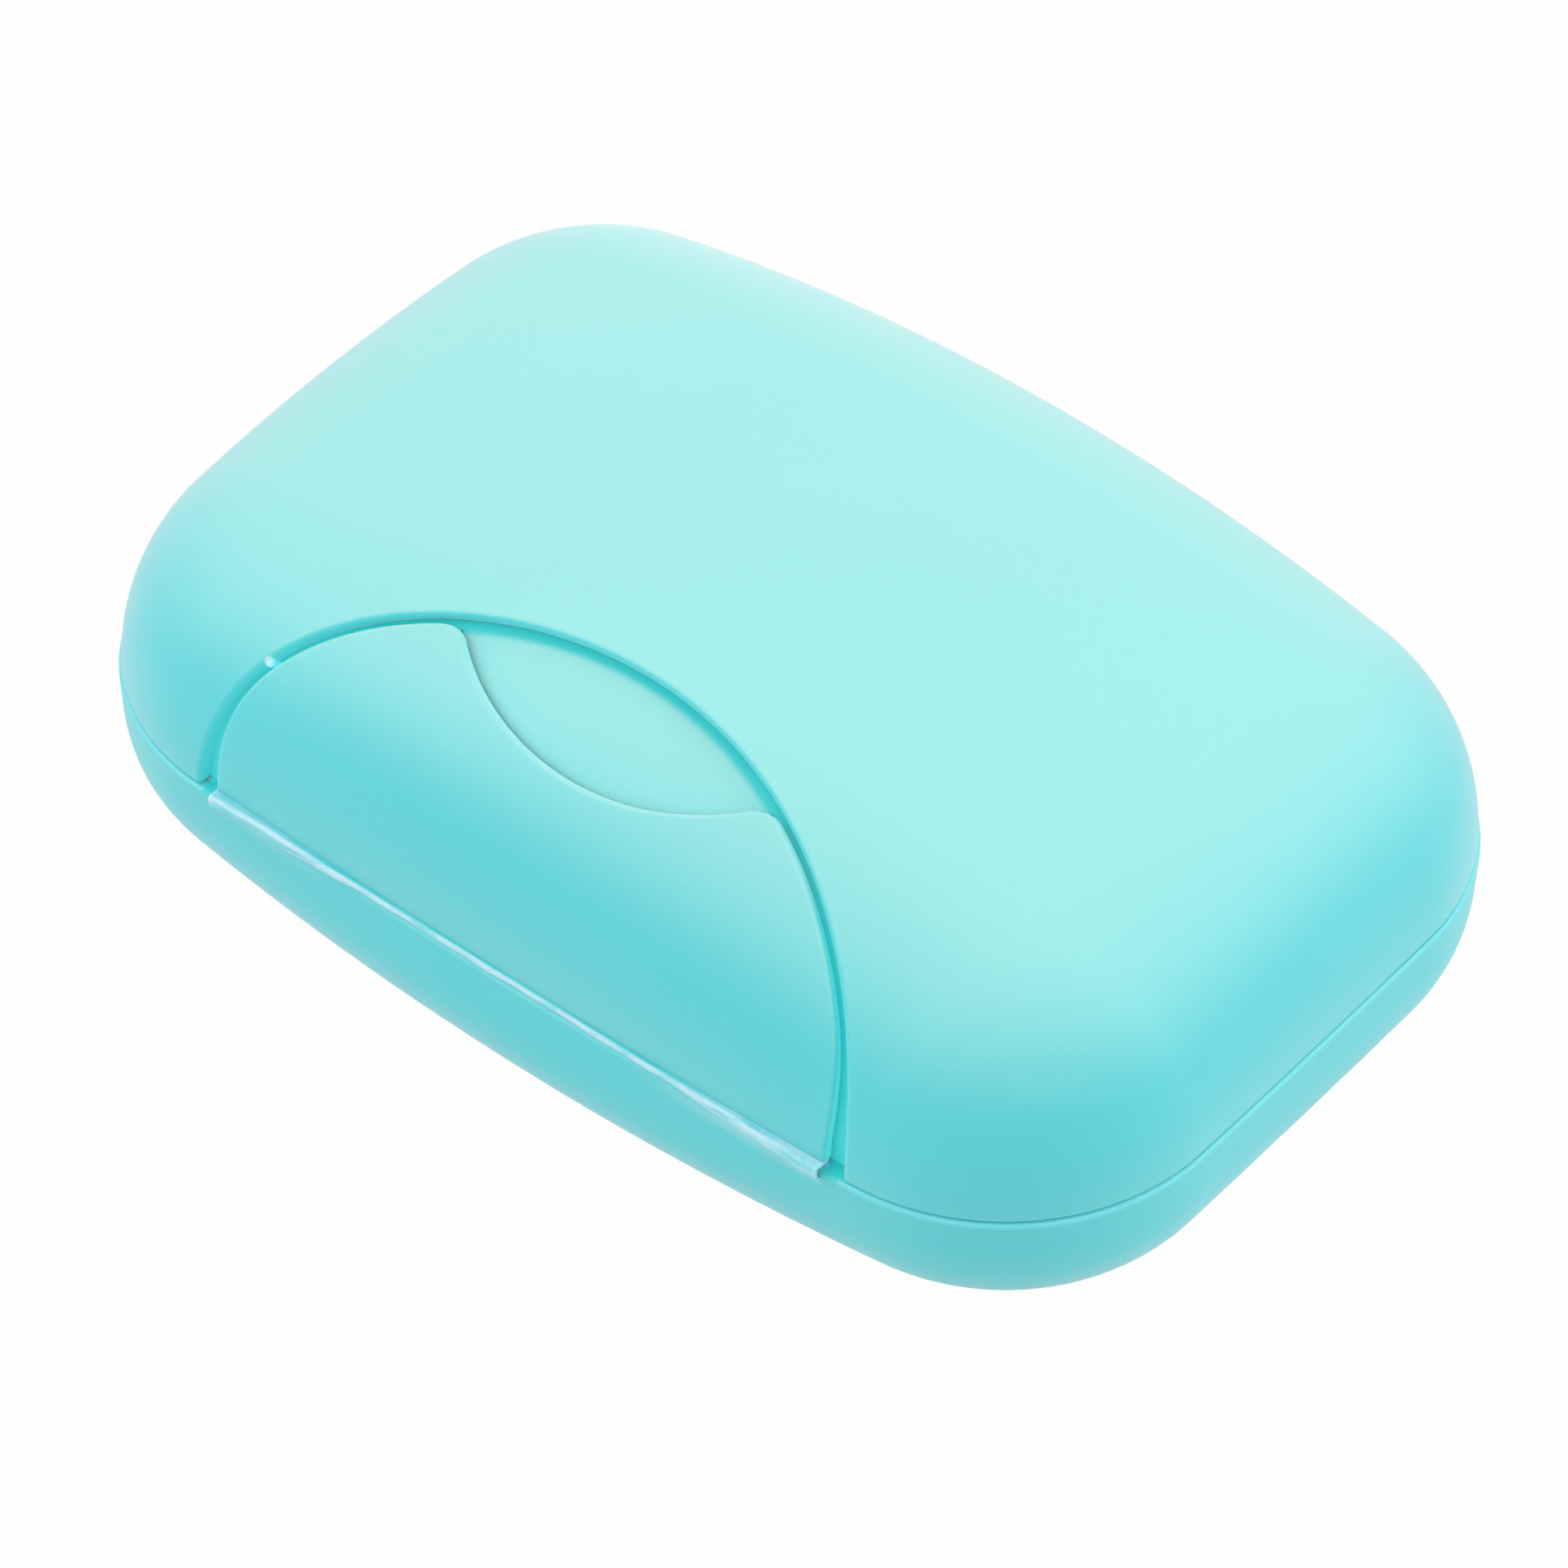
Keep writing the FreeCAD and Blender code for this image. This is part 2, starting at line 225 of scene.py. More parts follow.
def add_node(tree, kind, inputs=(), **values):
    node = tree.nodes.new(kind)
    for key, value in values.items():
        setattr(node, key, value)
    for key, value in dict(inputs).items():
        if isinstance(value, bpy.types.NodeSocket):
            tree.links.new(value, node.inputs[key])
        else:
            node.inputs[key].default_value = value
    return node


def rgba(colour):
    return (*colour, 1.0)


def new_group(name, inputs, outputs):
    """A shader node group with its named sockets, and its two end nodes."""
    group = bpy.data.node_groups.new(name, "ShaderNodeTree")
    kinds = {"vector": "NodeSocketVector", "value": "NodeSocketFloat"}
    for label, kind in inputs:
        group.interface.new_socket(label, in_out="INPUT", socket_type=kinds[kind])
    for label, kind in outputs:
        group.interface.new_socket(label, in_out="OUTPUT", socket_type=kinds[kind])
    return group, group.nodes.new("NodeGroupInput").outputs, group.nodes.new("NodeGroupOutput").inputs


def calc(tree, operation, *values):
    """One Math node; returns its output."""
    return add_node(tree, "ShaderNodeMath", dict(enumerate(values)), operation=operation).outputs[0]


def ramp(tree, value, low, high, to_low=0.0, to_high=1.0):
    """A soft step of a value between two levels."""
    return add_node(tree, "ShaderNodeMapRange", {
        "Value": value, "From Min": low, "From Max": high, "To Min": to_low, "To Max": to_high},
        interpolation_type="SMOOTHSTEP").outputs["Result"]


def product(tree, first, *others):
    """Product of two or more masks."""
    for other in others:
        first = calc(tree, "MULTIPLY", first, other)
    return first


def mixed(tree, share, low, high):
    """One Mix node of two colours; returns its output."""
    return add_node(tree, "ShaderNodeMix", {"Factor": share, "A": low, "B": high},
                    data_type="RGBA").outputs[2]


def axes_of(tree, vector):
    return add_node(tree, "ShaderNodeSeparateXYZ", {0: vector}).outputs


def placed(tree, place, group):
    """A group node fed with the piece's own coordinates and normals; returns its outputs."""
    node = add_node(tree, "ShaderNodeGroup", node_tree=group)
    for key, socket in (("Vector", place["Object"]), ("Normal", place["Normal"])):
        if key in node.inputs:
            tree.links.new(socket, node.inputs[key])
    return node.outputs


def glow(tree, shader, masks, tints, strength):
    """Painted light: weak emission in the masks' colours, standing in for light that would come through
    the plastic.
    """
    lit = BLACK
    for key, tint in tints.items():
        lit = mixed(tree, masks[key], lit, rgba(tint))
    tree.links.new(lit, shader.inputs["Emission Color"])
    shader.inputs["Emission Strength"].default_value = strength


def emboss(tree, shader, height, depth):
    bump = add_node(tree, "ShaderNodeBump", {"Height": height, "Distance": depth, "Strength": 1.0})
    tree.links.new(bump.outputs["Normal"], shader.inputs["Normal"])


def moulded_skin_group():
    """Fine spark-eroded grain and slow, faint tone changes of a moulded skin."""
    name = "Moulded skin"
    if name in bpy.data.node_groups:
        return bpy.data.node_groups[name]
    group, source, result = new_group(
        name, [("Vector", "vector"), ("Grain Size", "value")],
        [("Height", "value"), ("Tone", "value"), ("Gloss", "value")])
    pitch = calc(group, "DIVIDE", 1.0, source["Grain Size"])
    grain = add_node(group, "ShaderNodeTexNoise", {
        "Vector": source["Vector"], "Scale": pitch, "Detail": 2.0, "Roughness": 0.6})
    flow = add_node(group, "ShaderNodeTexNoise", {
        "Vector": source["Vector"], "Scale": 38.0, "Detail": 3.0, "Roughness": 0.55, "Distortion": 0.6})
    thin, thick = 0.3, 0.7
    group.links.new(grain.outputs["Fac"], result["Height"])
    group.links.new(ramp(group, flow.outputs["Fac"], thin, thick), result["Tone"])
    group.links.new(ramp(group, flow.outputs["Fac"], thin, thick, -1.0, 1.0), result["Gloss"])
    return group


def moulded_skin(tree, place):
    """Outputs of the moulded skin on a piece, at the finish's own grain."""
    return add_node(tree, "ShaderNodeGroup", {
        "Vector": place["Object"], "Grain Size": settings("soap_box_finish").grain_size},
        node_tree=moulded_skin_group()).outputs


def painted_top_light_group():
    """Painted light: mask of the faces that look up in the piece's own frame, which are painted paler as
    if lit from above.
    """
    name = "Milky crown"
    if name in bpy.data.node_groups:
        return bpy.data.node_groups[name]
    group, source, result = new_group(name, [("Normal", "vector")], [("Mask", "value")])
    flank, painted_top = 0.40, 1.02
    group.links.new(ramp(group, axes_of(group, source["Normal"])["Z"], flank, painted_top), result["Mask"])
    return group


def groove_group():
    """Masks of the lid: painted teal shade in the groove around the flap, a painted highlight on the nib
    in it, and a painted glow in the groove and on the lid's lowest edge.
    """
    name = "Latch groove"
    if name in bpy.data.node_groups:
        return bpy.data.node_groups[name]
    latch = settings("soap_box_latch")
    group, source, result = new_group(
        name, [("Vector", "vector"), ("Normal", "vector")],
        [("Mask", "value"), ("Glow", "value"), ("Nib", "value")])
    hinge = JOINT_PLACE["latch_hinge"]
    axes = axes_of(group, source["Vector"])
    inward = calc(group, "MULTIPLY", calc(group, "SUBTRACT", axes["Y"], hinge.y), math.sin(latch.slant))
    rise = calc(group, "MULTIPLY_ADD", calc(group, "SUBTRACT", axes["Z"], hinge.z),
                math.cos(latch.slant), inward)

    def distance(across, above):
        squares = calc(group, "MULTIPLY_ADD", above, above, calc(group, "MULTIPLY", across, across))
        return calc(group, "SQRT", squares)

    def oval(side_gap, top_gap):
        return distance(calc(group, "DIVIDE", axes["X"], latch.recess_half_width - side_gap),
                        calc(group, "DIVIDE", rise, latch.recess_rise - top_gap))

    # Painted shade: the groove's deeper, saturated teal is painted inside this mask, between the recess
    # wall and the flap.
    wall_fade, wall_full = 1.010, 0.995
    floor_fade, floor_full = 0.97, 0.995
    mask = product(group, ramp(group, oval(0.0, 0.0), wall_fade, wall_full),
                   ramp(group, oval(latch.foot_gap, latch.groove_width), floor_fade, floor_full))
    group.links.new(mask, result["Mask"])

    # Painted light: the groove glows, dimming to half towards its top.
    dim_start, dim_end, top_share = 0.5 * latch.recess_rise, 0.95 * latch.recess_rise, 0.5
    painted_groove_glow = product(group, mask, ramp(group, rise, dim_start, dim_end, 1.0, top_share))
    # Painted light: a faint glow on the lid's lowest, downward-facing faces lightens the shade of the
    # seam.
    side_facing, down_facing = -0.1, -0.5
    seam_fade, seam_full, seam_share = 1.5 * MILLIMETRE, 0.7 * MILLIMETRE, 0.35
    painted_seam_glow = product(
        group, ramp(group, axes_of(group, source["Normal"])["Z"], side_facing, down_facing),
        ramp(group, axes["Z"], hinge.z + seam_fade, hinge.z + seam_full, 0.0, seam_share))
    group.links.new(calc(group, "MAXIMUM", painted_groove_glow, painted_seam_glow), result["Glow"])

    # Painted highlight: a white spot painted on the snap nib.
    lean = math.sqrt(1 - (latch.nib_rise / latch.recess_rise) ** 2)
    away = distance(calc(group, "ADD", axes["X"], latch.recess_half_width * lean),
                    calc(group, "SUBTRACT", rise, latch.nib_rise))
    core_share = 0.5
    group.links.new(ramp(group, away, latch.nib_highlight_reach, core_share * latch.nib_highlight_reach), result["Nib"])
    return group


def blush_group():
    """Masks of the tray: a painted highlight on the rim edge, stress-whitened hinge ends, the groove's
    painted teal shade at its feet, and a painted glow on the rim edge and the feet.
    """
    name = "Tray marks"
    if name in bpy.data.node_groups:
        return bpy.data.node_groups[name]
    latch = settings("soap_box_latch")
    group, source, result = new_group(
        name, [("Vector", "vector"), ("Normal", "vector")],
        [("Pale", "value"), ("Foot", "value"), ("Glow", "value")])
    hinge = JOINT_PLACE["latch_hinge"]
    axes = axes_of(group, source["Vector"])
    facing = axes_of(group, source["Normal"])["Z"]
    across = calc(group, "ABSOLUTE", axes["X"])
    front_fade, front_full = 4.0 * MILLIMETRE, 3.5 * MILLIMETRE
    front = ramp(group, axes["Y"], hinge.y + front_fade, hinge.y + front_full)
    end = latch.recess_half_width - latch.foot_gap

    right_start, left_start, full = 0.35 * end, -0.45 * end, 0.85 * end
    right_share, left_share = 0.5, 0.2
    whitened = calc(group, "MAXIMUM", ramp(group, axes["X"], right_start, full, 0.0, right_share),
                    ramp(group, axes["X"], left_start, -full, 0.0, left_share))
    end_fade, end_full = 1.01 * end, 0.99 * end
    low_fade, low_full = 2.6 * MILLIMETRE, 1.0 * MILLIMETRE
    ends = product(group, whitened, ramp(group, across, end_fade, end_full),
                   ramp(group, axes["Z"], hinge.z - low_fade, hinge.z - low_full), front)

    # Painted highlight: the rim's rounded edge, facing partly up, is painted pale.
    wall_facing, edge_facing, land_fade, land_facing = 0.05, 0.3, 0.8, 0.98
    edge_depth, rim_highlight_share = 1.2 * MILLIMETRE, 0.45
    edge = product(group, ramp(group, facing, wall_facing, edge_facing),
                   ramp(group, facing, land_facing, land_fade),
                   ramp(group, axes["Z"], hinge.z - edge_depth, hinge.z, 0.0, rim_highlight_share))
    group.links.new(calc(group, "MAXIMUM", ends, edge), result["Pale"])

    # Painted shade: the groove's teal is painted where its feet show on the tray.
    inner_fade, inner_full = 0.99 * end, end
    outer_fade, outer_full = 1.05 * end, 1.04 * end
    foot_fade, foot_full = 0.9 * MILLIMETRE, 0.6 * MILLIMETRE
    foot = product(group, ramp(group, across, inner_fade, inner_full),
                   ramp(group, across, outer_fade, outer_full),
                   ramp(group, axes["Z"], hinge.z - foot_fade, hinge.z - foot_full), front)
    group.links.new(foot, result["Foot"])
    # Painted light: the rim edge and the groove's feet glow.
    painted_glow_share = 0.55
    light = calc(group, "MULTIPLY", calc(group, "MAXIMUM", foot, edge), painted_glow_share)
    group.links.new(light, result["Glow"])
    return group


def flap_edge_group():
    """Masks of the flap's own edges, which stand square to its face: at its sides, painted teal with a
    painted glow, and around its notch, painted paler with a paler painted glow that lights the floor
    beside it.
    """
    name = "Flap edge"
    if name in bpy.data.node_groups:
        return bpy.data.node_groups[name]
    latch = settings("soap_box_latch")
    group, source, result = new_group(
        name, [("Vector", "vector"), ("Normal", "vector")], [("Side", "value"), ("Notch", "value")])
    across = calc(group, "ABSOLUTE", axes_of(group, source["Vector"])["X"])
    facing = add_node(group, "ShaderNodeVectorMath", {
        0: source["Normal"], 1: (0, -math.cos(latch.slant), math.sin(latch.slant))},
        operation="DOT_PRODUCT").outputs["Value"]
    round_facing, edge_facing = 0.40, 0.15
    square = ramp(group, calc(group, "ABSOLUTE", facing), round_facing, edge_facing)
    side_start, side_full = 0.6 * latch.recess_half_width, 0.75 * latch.recess_half_width
    side = product(group, square, ramp(group, across, side_start, side_full))
    # Painted light: the notch's edges are painted paler and glow, lighting the recess floor beside them;
    # the sides get painted teal and a teal glow.
    notch_share = 0.5
    notch = calc(group, "MULTIPLY", calc(group, "SUBTRACT", square, side), notch_share)
    group.links.new(side, result["Side"])
    group.links.new(notch, result["Notch"])
    return group


def aqua_plastic(name, group, tints, glows, painted_top_share=1.0, scatter=0.3, bloom=0.62):
    """Satin aqua polypropylene with the marks of a mask group.

    tints paint the masks' colours into the base colour and glows paint them on as light (emission); the
    share after them is the painted top light, a paler colour on faces that look up, and scatter and bloom
    are the weights of subsurface and sheen.
    """
    finish = settings("soap_box_finish")
    material, tree, shader = new_material(name)
    place = add_node(tree, "ShaderNodeTexCoord").outputs
    skin = moulded_skin(tree, place)
    # Painted light: faces that look up are painted paler, as if lit from above.
    painted_top = calc(tree, "MULTIPLY", placed(tree, place, painted_top_light_group())["Mask"], painted_top_share)
    tone_share, gloss_share = 0.03, 0.03
    share = calc(tree, "MULTIPLY_ADD", skin["Tone"], tone_share, painted_top)
    colour = mixed(tree, share, rgba(finish.deep_colour), rgba(finish.painted_top_light_colour))
    masks = placed(tree, place, group)
    # Painted shade, highlights and glow from the mask group: tints go into the base colour, glows into the
    # emission.
    for key, tint in tints.items():
        colour = mixed(tree, masks[key], colour, rgba(tint))
    tree.links.new(colour, shader.inputs["Base Color"])
    glow(tree, shader, masks, glows, finish.painted_glow_strength)
    rough = calc(tree, "MULTIPLY_ADD", skin["Gloss"], gloss_share, finish.satin)
    tree.links.new(rough, shader.inputs["Roughness"])
    emboss(tree, shader, skin["Height"], finish.grain_depth)
    shader.inputs["IOR"].default_value = PLASTIC_IOR
    shader.inputs["Subsurface Weight"].default_value = scatter
    shader.inputs["Subsurface Radius"].default_value = finish.scatter_colour
    shader.inputs["Subsurface Scale"].default_value = SCATTER_DEPTH
    shader.inputs["Sheen Weight"].default_value = bloom
    shader.inputs["Sheen Roughness"].default_value = BLOOM_ROUGHNESS
    return material


def dress(node, material):
    """Gives a CAD node its finish, with its mesh as it is."""
    slots = frame["nodes"][node].data.materials
    slots.clear()
    slots.append(material)


class SOAPBOX_OT_shells(bpy.types.Operator):
    """Finish the tray, the lid and the latch flap in satin aqua plastic"""
    bl_idname = "soapbox.shells"
    bl_label = "Finish the Shells"

    def execute(self, context):
        finish = settings("soap_box_finish")
        teal, pale, painted_light_aqua = finish.painted_groove_teal, finish.whitening_and_painted_light_colour, finish.painted_top_light_colour
        # The lid's groove gets painted teal shade and a painted glow, its nib a painted highlight.
        dress("lid_shell", aqua_plastic(
            "lid_plastic", groove_group(), {"Mask": teal, "Nib": pale}, {"Glow": teal}))
        # The tray's rim edge gets a painted highlight and a painted glow, the groove's feet painted teal
        # with a glow.
        dress("base_shell", aqua_plastic(
            "tray_plastic", blush_group(), {"Pale": pale, "Foot": teal}, {"Glow": teal},
            painted_top_share=0.1, scatter=0.05, bloom=0.32))
        # The flap's edges: painted teal and a painted glow at its sides, paler painted light around its
        # notch.
        edges = {"Side": teal, "Notch": painted_light_aqua}
        dress("latch_flap", aqua_plastic("flap_plastic", flap_edge_group(), edges, edges))
        return {"FINISHED"}


def film_material(name):
    """Folded aqua film, stress-whitened along its creases, with a painted glow at its ends."""
    finish = settings("soap_box_finish")
    material, tree, shader = new_material(name)
    place = add_node(tree, "ShaderNodeTexCoord").outputs
    skin = moulded_skin(tree, place)
    marks = {key: add_node(tree, "ShaderNodeAttribute", attribute_name=key).outputs["Fac"]
             for key in ("crease", "blunt_end")}
    drawn_out = (0.25, 1.0, 1.0)
    drawn = add_node(tree, "ShaderNodeVectorMath", {0: place["Object"], 1: drawn_out},
                     operation="MULTIPLY").outputs[0]
    patchy = add_node(tree, "ShaderNodeTexNoise", {
        "Vector": drawn, "Scale": 1400.0, "Detail": 3.0, "Roughness": 0.6}).outputs["Fac"]
    sparse, dense, least_share = 0.3, 0.6, 0.35
    share = calc(tree, "MULTIPLY", marks["crease"], ramp(tree, patchy, sparse, dense, least_share, 1.0))
    colour = mixed(tree, share, rgba(finish.deep_colour), rgba(finish.whitening_and_painted_light_colour))
    tree.links.new(colour, shader.inputs["Base Color"])
    # Painted light: the film's ends glow faintly.
    end_share = 0.25
    glow(tree, shader, marks, {"blunt_end": finish.whitening_and_painted_light_colour}, end_share * finish.painted_glow_strength)
    gloss_share, film_roughness = 0.05, 0.4
    rough = calc(tree, "MULTIPLY_ADD", skin["Gloss"], gloss_share, film_roughness)
    tree.links.new(rough, shader.inputs["Roughness"])
    emboss(tree, shader, patchy, CRINKLE_DEPTH)
    shader.inputs["IOR"].default_value = PLASTIC_IOR
    return material


def smooth_step(value, low, high):
    share = min(max((value - low) / (high - low), 0.0), 1.0)
    return share * share * (3 - 2 * share)


def between(low, high, share):
    return low + (high - low) * share


def band(value, centre, half):
    """1 near a centre, falling softly to 0 outside a half-width."""
    full_share, fade_share = 0.5, 1.4
    return 1 - smooth_step(abs(value - centre), full_share * half, fade_share * half)


def folded_sheet(node, axis, way):
    """Open U-shaped skin about a hinge axis, as long as its node: a leg, a round roll and a leg."""
    film = settings("soap_box_film")
    low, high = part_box(node)
    roll = (high.z - low.z) / 2
    leg_end = high.y if way > 0 else low.y
    shape = bmesh.new()
    start = shape.verts.new((low.x, leg_end, axis.z - roll))
    foot = shape.verts.new((low.x, axis.y, axis.z - roll))
    shape.edges.new((start, foot))
    bent = bmesh.ops.spin(shape, geom=[foot], cent=(low.x, axis.y, axis.z), axis=(1, 0, 0),
                          angle=-way * math.pi, steps=film.fold_steps)
    last = [item for item in bent["geom_last"] if isinstance(item, bmesh.types.BMVert)]
    leg = bmesh.ops.extrude_vert_indiv(shape, verts=last)["verts"]
    bmesh.ops.translate(shape, verts=leg, vec=(0, leg_end - axis.y, 0))
    rim = list(shape.edges)
    for _ in range(film.length_steps):
        grown = bmesh.ops.extrude_edge_only(shape, edges=rim)["geom"]
        moved = [item for item in grown if isinstance(item, bmesh.types.BMVert)]
        bmesh.ops.translate(shape, verts=moved, vec=((high.x - low.x) / film.length_steps, 0, 0))
        rim = [item for item in grown if isinstance(item, bmesh.types.BMEdge)
               and all(vert in moved for vert in item.verts)]
    bmesh.ops.recalc_face_normals(shape, faces=shape.faces)
    front = min(shape.faces, key=lambda face: face.calc_center_median().y * way)
    if front.normal.y * way > 0:
        bmesh.ops.reverse_faces(shape, faces=shape.faces)
    return shape, roll, (low.x + high.x) / 2, (high.x - low.x) / 2


def swell_film(shape, axis, way, roll, middle, half, beaded):
    """Bulges a folded sheet towards its ends, with a wandering fold, and beads and skirts its ends."""
    film = settings("soap_box_film")
    swell_start, swell_full = 0.45, 1.0
    skirt_start, skirt_full = 0.35, 0.95
    long_wave, short_wave, phase = 410, 1130, 1
    roll_depth, bead_depth = roll / 2, roll / 8
    for vert in shape.verts:
        share = abs(vert.co.x - middle) / half
        front = (axis.y - vert.co.y) * way
        if front > -roll_depth:
            swell = between(film.middle_share, film.end_share, smooth_step(share, swell_start, swell_full))
            waves = math.sin(vert.co.x * long_wave) + math.sin(vert.co.x * short_wave + phase)
            vert.co.y = axis.y + (vert.co.y - axis.y) * swell + film.waviness * waves / 2
        if beaded and front > -bead_depth:
            bead = film.bead_share * smooth_step(abs(vert.co.x - middle), half - film.bead_length, half)
            lift = (vert.co.z - axis.z) / roll
            skirt = max(-lift, 0) * smooth_step(share, skirt_start, skirt_full)
            vert.co.z += max(lift, 0) * bead * front - skirt * film.skirt_drop
            vert.co.y += skirt ** 3 * film.skirt_tuck * way


def mark_film(shape, axis, way, middle, half):
    """Marks a film's vertices: the stress-whitened creases and the ends, which get a painted glow.

    The stress mark is one line at mid-length and parts into two creases near the ends. Angles are degrees
    around the fold, up from its front.
    """
    crease = shape.verts.layers.float.new("crease")
    blunt_end = shape.verts.layers.float.new("blunt_end")
    split_start, split_full = 0.45, 0.85
    line_angle, upper_angle, lower_angle = 25, 50, -70
    upper_halves, lower_halves, lower_share = (36, 34), (32, 23), 0.5
    right_share, left_share, plain_fade, plain_full = 0.85, 0.40, -80, -20
    tip_start, tip_full, tip_fade, tip_front, tip_share = 0.975, 0.99, -50, 0, 0.9
    # Where the painted glow at the film's ends starts and is full.
    end_glow_start, end_glow_full = 0.992, 0.998
    for vert in shape.verts:
        along = abs(vert.co.x - middle) / half
        split = smooth_step(along, split_start, split_full)
        angle = math.degrees(math.atan2(vert.co.z - axis.z, (axis.y - vert.co.y) * way))
        upper = band(angle, between(line_angle, upper_angle, split), between(*upper_halves, split))
        lower = band(angle, between(line_angle, lower_angle, split), between(*lower_halves, split))
        plain_share = right_share if vert.co.x > middle else left_share
        plain = plain_share * split * smooth_step(angle, plain_fade, plain_full)
        tip = tip_share * smooth_step(along, tip_start, tip_full) * smooth_step(angle, tip_fade, tip_front)
        vert[crease] = max(upper, lower * between(1, lower_share, split), plain, tip)
        vert[blunt_end] = smooth_step(along, end_glow_start, end_glow_full)


def folded_film(name, node, joint, way, beaded=False):
    """A living hinge: a folded film that is whitened and swollen towards its ends."""
    film = settings("soap_box_film")
    axis = JOINT_PLACE[joint]
    shape, roll, middle, half = folded_sheet(node, axis, way)
    swell_film(shape, axis, way, roll, middle, half, beaded)
    bmesh.ops.solidify(shape, geom=shape.faces[:], thickness=film.thickness)
    mark_film(shape, axis, way, middle, half)
    for edge in shape.edges:
        edge.smooth = not (edge.is_manifold and edge.calc_face_angle() > SHARP_ANGLE)
    for face in shape.faces:
        face.smooth = True
    mesh = bpy.data.meshes.new(name)
    shape.to_mesh(mesh)
    shape.free()
    piece = bpy.data.objects.new(name, mesh)
    bpy.context.scene.collection.objects.link(piece)
    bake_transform(piece)
    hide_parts(node)
    return piece


class SOAPBOX_OT_latch_film(bpy.types.Operator):
    """Fold the film that joins the latch flap to the rim of the tray"""
    bl_idname = "soapbox.latch_film"
    bl_label = "Fold the Latch Film"

    def execute(self, context):
        piece = folded_film("latch_hinge_film", "latch_hinge_web", "latch_hinge", 1, beaded=True)
        piece.data.materials.append(film_material("latch_film"))
        return {"FINISHED"}


class SOAPBOX_OT_lid_films(bpy.types.Operator):
    """Fold the two films that join the lid to the rear of the tray"""
    bl_idname = "soapbox.lid_films"
    bl_label = "Fold the Lid Films"

    def execute(self, context):
        material = film_material("lid_film")
        for side in ("left", "right"):
            piece = folded_film("lid_hinge_film_" + side, "lid_hinge_web_" + side, "lid_hinge", -1)
            piece.data.materials.append(material)
        return {"FINISHED"}


def seal_material():
    """Milky, slightly dusty rubber, painted teal shade with a painted glow where it shows at the feet of
    the groove.
    """
    finish = settings("soap_box_finish")
    material, tree, shader = new_material("seal_rubber")
    place = add_node(tree, "ShaderNodeTexCoord").outputs
    skin = moulded_skin(tree, place)
    shade_share = 0.93
    shade = [channel * shade_share for channel in finish.seal_colour]
    colour = mixed(tree, skin["Tone"], rgba(shade), rgba(finish.seal_colour))
    marks = placed(tree, place, blush_group())
    colour = mixed(tree, marks["Foot"], colour, rgba(finish.painted_groove_teal))
    tree.links.new(colour, shader.inputs["Base Color"])
    glow(tree, shader, marks, {"Foot": finish.painted_groove_teal}, finish.painted_glow_strength)
    gloss_share, rubber_roughness = 0.05, 0.6
    rough = calc(tree, "MULTIPLY_ADD", skin["Gloss"], gloss_share, rubber_roughness)
    tree.links.new(rough, shader.inputs["Roughness"])
    emboss(tree, shader, skin["Height"], finish.grain_depth)
    shader.inputs["IOR"].default_value = RUBBER_IOR
    return material


class SOAPBOX_OT_seal(bpy.types.Operator):
    """Finish the seal ring in milky rubber"""
    bl_idname = "soapbox.seal"
    bl_label = "Finish the Seal"

    def execute(self, context):
        dress("seal_ring", seal_material())
        return {"FINISHED"}


def seen_directly(tree):
    """1 on rays of the camera and of mirror-like or clear surfaces."""
    path = add_node(tree, "ShaderNodeLightPath").outputs
    seen = path["Is Camera Ray"]
    for ray in ("Is Glossy Ray", "Is Transmission Ray"):
        seen = calc(tree, "MAXIMUM", seen, path[ray])
    return seen


def stage_material():
    """White floor that still takes the soap box's shadow."""
    material, tree, shader = new_material("studio_floor")
    shader.inputs["Base Color"].default_value = rgba([FLOOR_GREY] * 3)
    shader.inputs["Roughness"].default_value = FLOOR_ROUGHNESS
    shader.inputs["Specular IOR Level"].default_value = 0.0
    share = calc(tree, "MULTIPLY", seen_directly(tree), FLOOR_WHITE_SHARE)
    white = add_node(tree, "ShaderNodeEmission", {"Color": WHITE, "Strength": 1.0})
    mix = add_node(tree, "ShaderNodeMixShader", {0: share, 1: shader.outputs[0], 2: white.outputs[0]})
    tree.links.new(mix.outputs[0], tree.nodes["Material Output"].inputs["Surface"])
    return material


def white_room(strength):
    """Even white surroundings, plain white where the camera sees them."""
    world = bpy.data.worlds.new("white_room")
    world.use_nodes = True
    tree = world.node_tree
    ground = tree.nodes["Background"]
    ground.inputs["Color"].default_value = WHITE
    level = add_node(tree, "ShaderNodeMapRange", {
        "Value": seen_directly(tree), "To Min": strength, "To Max": 1.0})
    tree.links.new(level.outputs["Result"], ground.inputs["Strength"])
    bpy.context.scene.world = world


def softbox(name, place, width, depth, power):
    light = bpy.data.lights.new(name, "AREA")
    light.shape = "RECTANGLE"
    light.size = width
    light.size_y = depth
    light.energy = power
    lamp = bpy.data.objects.new(name, light)
    bpy.context.scene.collection.objects.link(lamp)
    aim = Vector(LIGHT_TARGET) - Vector(place)
    lamp.matrix_world = Matrix.Translation(place) @ aim.to_track_quat("-Z", "Y").to_matrix().to_4x4()


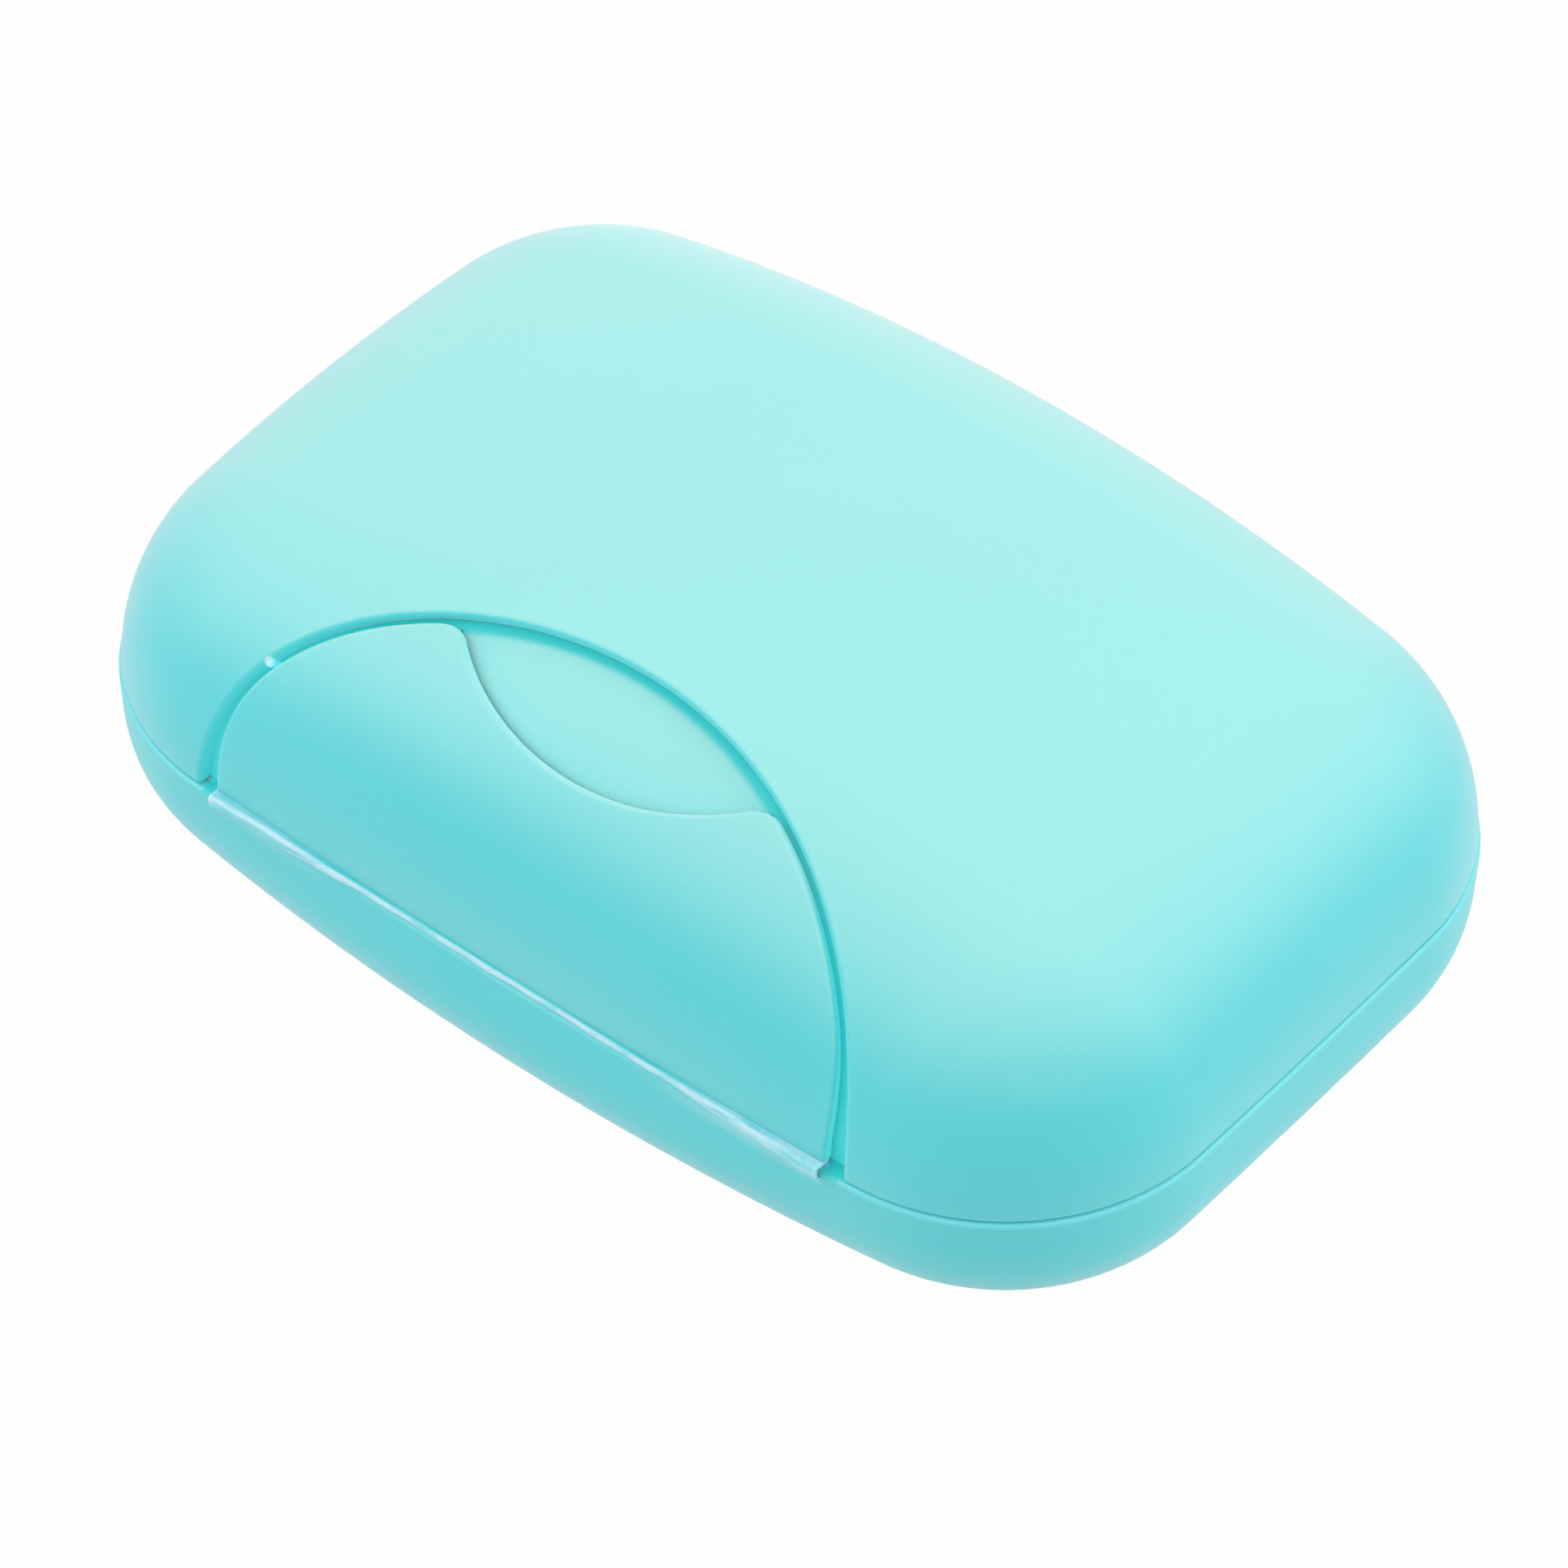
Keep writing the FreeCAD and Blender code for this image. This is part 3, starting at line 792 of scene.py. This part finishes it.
def photo_camera(stage):
    """Camera at the photograph's viewing angle, slid so that the picture's middle falls right."""
    turn, rise = stage.azimuth, stage.elevation
    back = Vector((math.sin(turn) * math.cos(rise), -math.cos(turn) * math.cos(rise), math.sin(rise)))
    right = Vector((math.cos(turn), math.sin(turn), 0))
    above = back.cross(right)
    tilt = Matrix.Rotation(stage.roll, 3, back)
    right, above = tilt @ right, tilt @ above
    aim = Vector((0, 0, stage.aim_height)) - right * stage.aim_left - above * stage.aim_down
    place = aim + back * stage.distance
    camera = bpy.data.cameras.new("photo_camera")
    camera.sensor_width = SENSOR_WIDTH
    camera.lens = stage.lens
    camera.clip_start = CLIP_NEAR
    camera.clip_end = CLIP_FAR
    holder = bpy.data.objects.new("photo_camera", camera)
    bpy.context.scene.collection.objects.link(holder)
    turned = Matrix((right, above, back)).transposed().to_4x4()
    holder.matrix_world = Matrix.Translation(place) @ turned
    bpy.context.scene.camera = holder


class SOAPBOX_OT_stage(bpy.types.Operator):
    """Set a plain white floor, soft studio light and the photograph's camera"""
    bl_idname = "soapbox.stage"
    bl_label = "Set the Stage"

    def execute(self, context):
        stage = settings("soap_box_stage")
        context.scene.view_settings.view_transform = "Standard"
        mesh = bpy.data.meshes.new("studio_floor")
        shape = bmesh.new()
        bmesh.ops.create_grid(shape, x_segments=1, y_segments=1, size=FLOOR_HALF)
        bmesh.ops.translate(shape, verts=shape.verts, vec=(0, 0, -FLOOR_DROP))
        shape.to_mesh(mesh)
        shape.free()
        floor = bpy.data.objects.new("studio_floor", mesh)
        context.scene.collection.objects.link(floor)
        mesh.materials.append(stage_material())
        white_room(stage.room_light)
        for name, place, width, depth, power in SOFTBOXES:
            softbox(name, place, width, depth, getattr(stage, power))
        photo_camera(stage)
        return {"FINISHED"}


class SOAPBOX_PT_panel(bpy.types.Panel):
    """Lists the steps and settings of the soap box"""
    bl_label = "Travel Soap Box"
    bl_idname = "SOAPBOX_PT_panel"
    bl_space_type = "VIEW_3D"
    bl_region_type = "UI"
    bl_category = "Soap Box"

    def draw(self, context):
        for step in STEPS:
            self.layout.operator(step.bl_idname)
        for name, group in GROUPS.items():
            box = self.layout.box()
            for key in group.__annotations__:
                box.prop(getattr(context.scene, name), key)


GROUPS = {
    "soap_box_finish": FinishSettings,
    "soap_box_latch": LatchSettings,
    "soap_box_film": FilmSettings,
    "soap_box_stage": StageSettings,
}
STEPS = (SOAPBOX_OT_shells, SOAPBOX_OT_latch_film, SOAPBOX_OT_lid_films, SOAPBOX_OT_seal,
         SOAPBOX_OT_stage)
CLASSES = (*GROUPS.values(), *STEPS, SOAPBOX_PT_panel)


def register():
    for item in CLASSES:
        bpy.utils.register_class(item)
    for name, group in GROUPS.items():
        setattr(bpy.types.Scene, name, bpy.props.PointerProperty(type=group))


def unregister():
    for name in GROUPS:
        delattr(bpy.types.Scene, name)
    for item in reversed(CLASSES):
        bpy.utils.unregister_class(item)


def main():
    register()
    bpy.ops.soapbox.shells()
    bpy.ops.soapbox.latch_film()
    bpy.ops.soapbox.lid_films()
    bpy.ops.soapbox.seal()
    bpy.ops.soapbox.stage()


if __name__ == "__main__":
    main()
